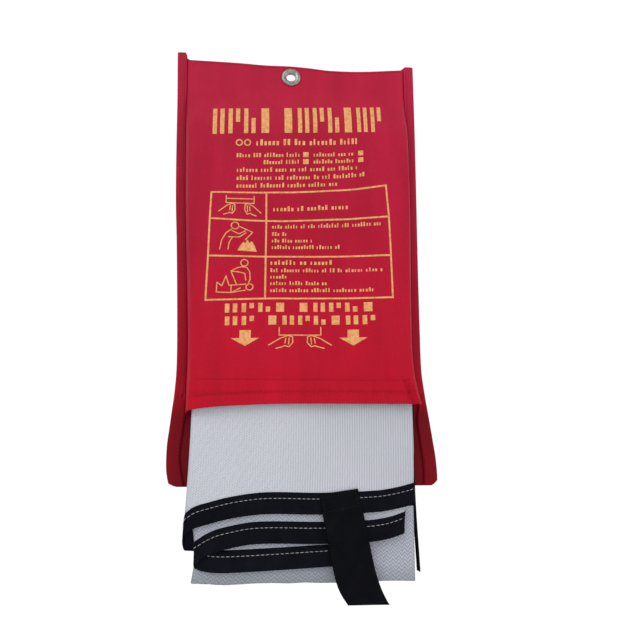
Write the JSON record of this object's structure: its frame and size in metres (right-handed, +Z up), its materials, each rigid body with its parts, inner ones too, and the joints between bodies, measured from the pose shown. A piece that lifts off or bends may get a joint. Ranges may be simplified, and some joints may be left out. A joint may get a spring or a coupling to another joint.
{
  "type": "fire blanket",
  "caption": "Folded glass-cloth fire blanket with bound edges and a pull tape, drawn partly out of a soft hanging pouch with an eyelet and a long rear flap.",
  "frame": {"origin": "centre of the hanging eyelet, in the plane of the wall behind the pouch", "axes": "+Z up towards the pouch's top edge, -Y out of the printed front, +X to the right seen from the front"},
  "size_m": [0.26, 0.027, 0.562],
  "materials": {
    "red_fabric": "coated woven polyester, semi-matt",
    "red_thread": "matt thread",
    "steel": "nickel plated, polished",
    "glass_cloth": "woven glass fibre, slight sheen",
    "black_binding": "matt woven tape",
    "white_thread": "matt thread",
    "black_webbing": "matt woven webbing"
  },
  "bodies": {
    "pouch": {"back_panel": "red_fabric", "front_panel": "red_fabric", "mouth_hem": "red_fabric", "left_side_hem": "red_fabric", "right_side_hem": "red_fabric", "mouth_stitching_lower": "red_thread", "mouth_stitching_upper": "red_thread", "header_stitching": "red_thread", "left_side_stitching": "red_thread", "right_side_stitching": "red_thread", "eyelet_flange": "steel", "eyelet_washer": "steel"},
    "flap": {"flap": "red_fabric", "flap_left_hem": "red_fabric", "flap_right_hem": "red_fabric", "flap_left_stitching": "red_thread", "flap_right_stitching": "red_thread"},
    "blanket": {"blanket_cloth": "glass_cloth", "binding_front_layer": "black_binding", "binding_second_layer": "black_binding", "binding_third_layer": "black_binding", "binding_side_edge": "black_binding", "binding_stitching_front_layer": "white_thread", "binding_stitching_second_layer": "white_thread", "binding_stitching_third_layer": "white_thread", "pull_tape_sewn_end": "black_webbing", "pull_tape_stitching": "black_webbing"},
    "pull_tape": {"pull_tape": "black_webbing"}
  },
  "joints": [
    {"name": "blanket_slide", "type": "slide", "parent": "pouch", "child": "blanket", "axis": [0, 0, -1], "range_m": [-0.16, 0.135]},
    {"name": "flap_fold", "type": "hinge", "parent": "pouch", "child": "flap", "pos_m": [0.009, -0.0004, -0.362], "axis": [1, 0, 0], "range_deg": [0, 100]},
    {"name": "pull_tape_swing", "type": "hinge", "parent": "blanket", "child": "pull_tape", "pos_m": [0.045, -0.0218, -0.46], "axis": [-0.9744, 0, -0.225], "range_deg": [0, 150], "deforming": ["pull_tape"]}
  ]
}
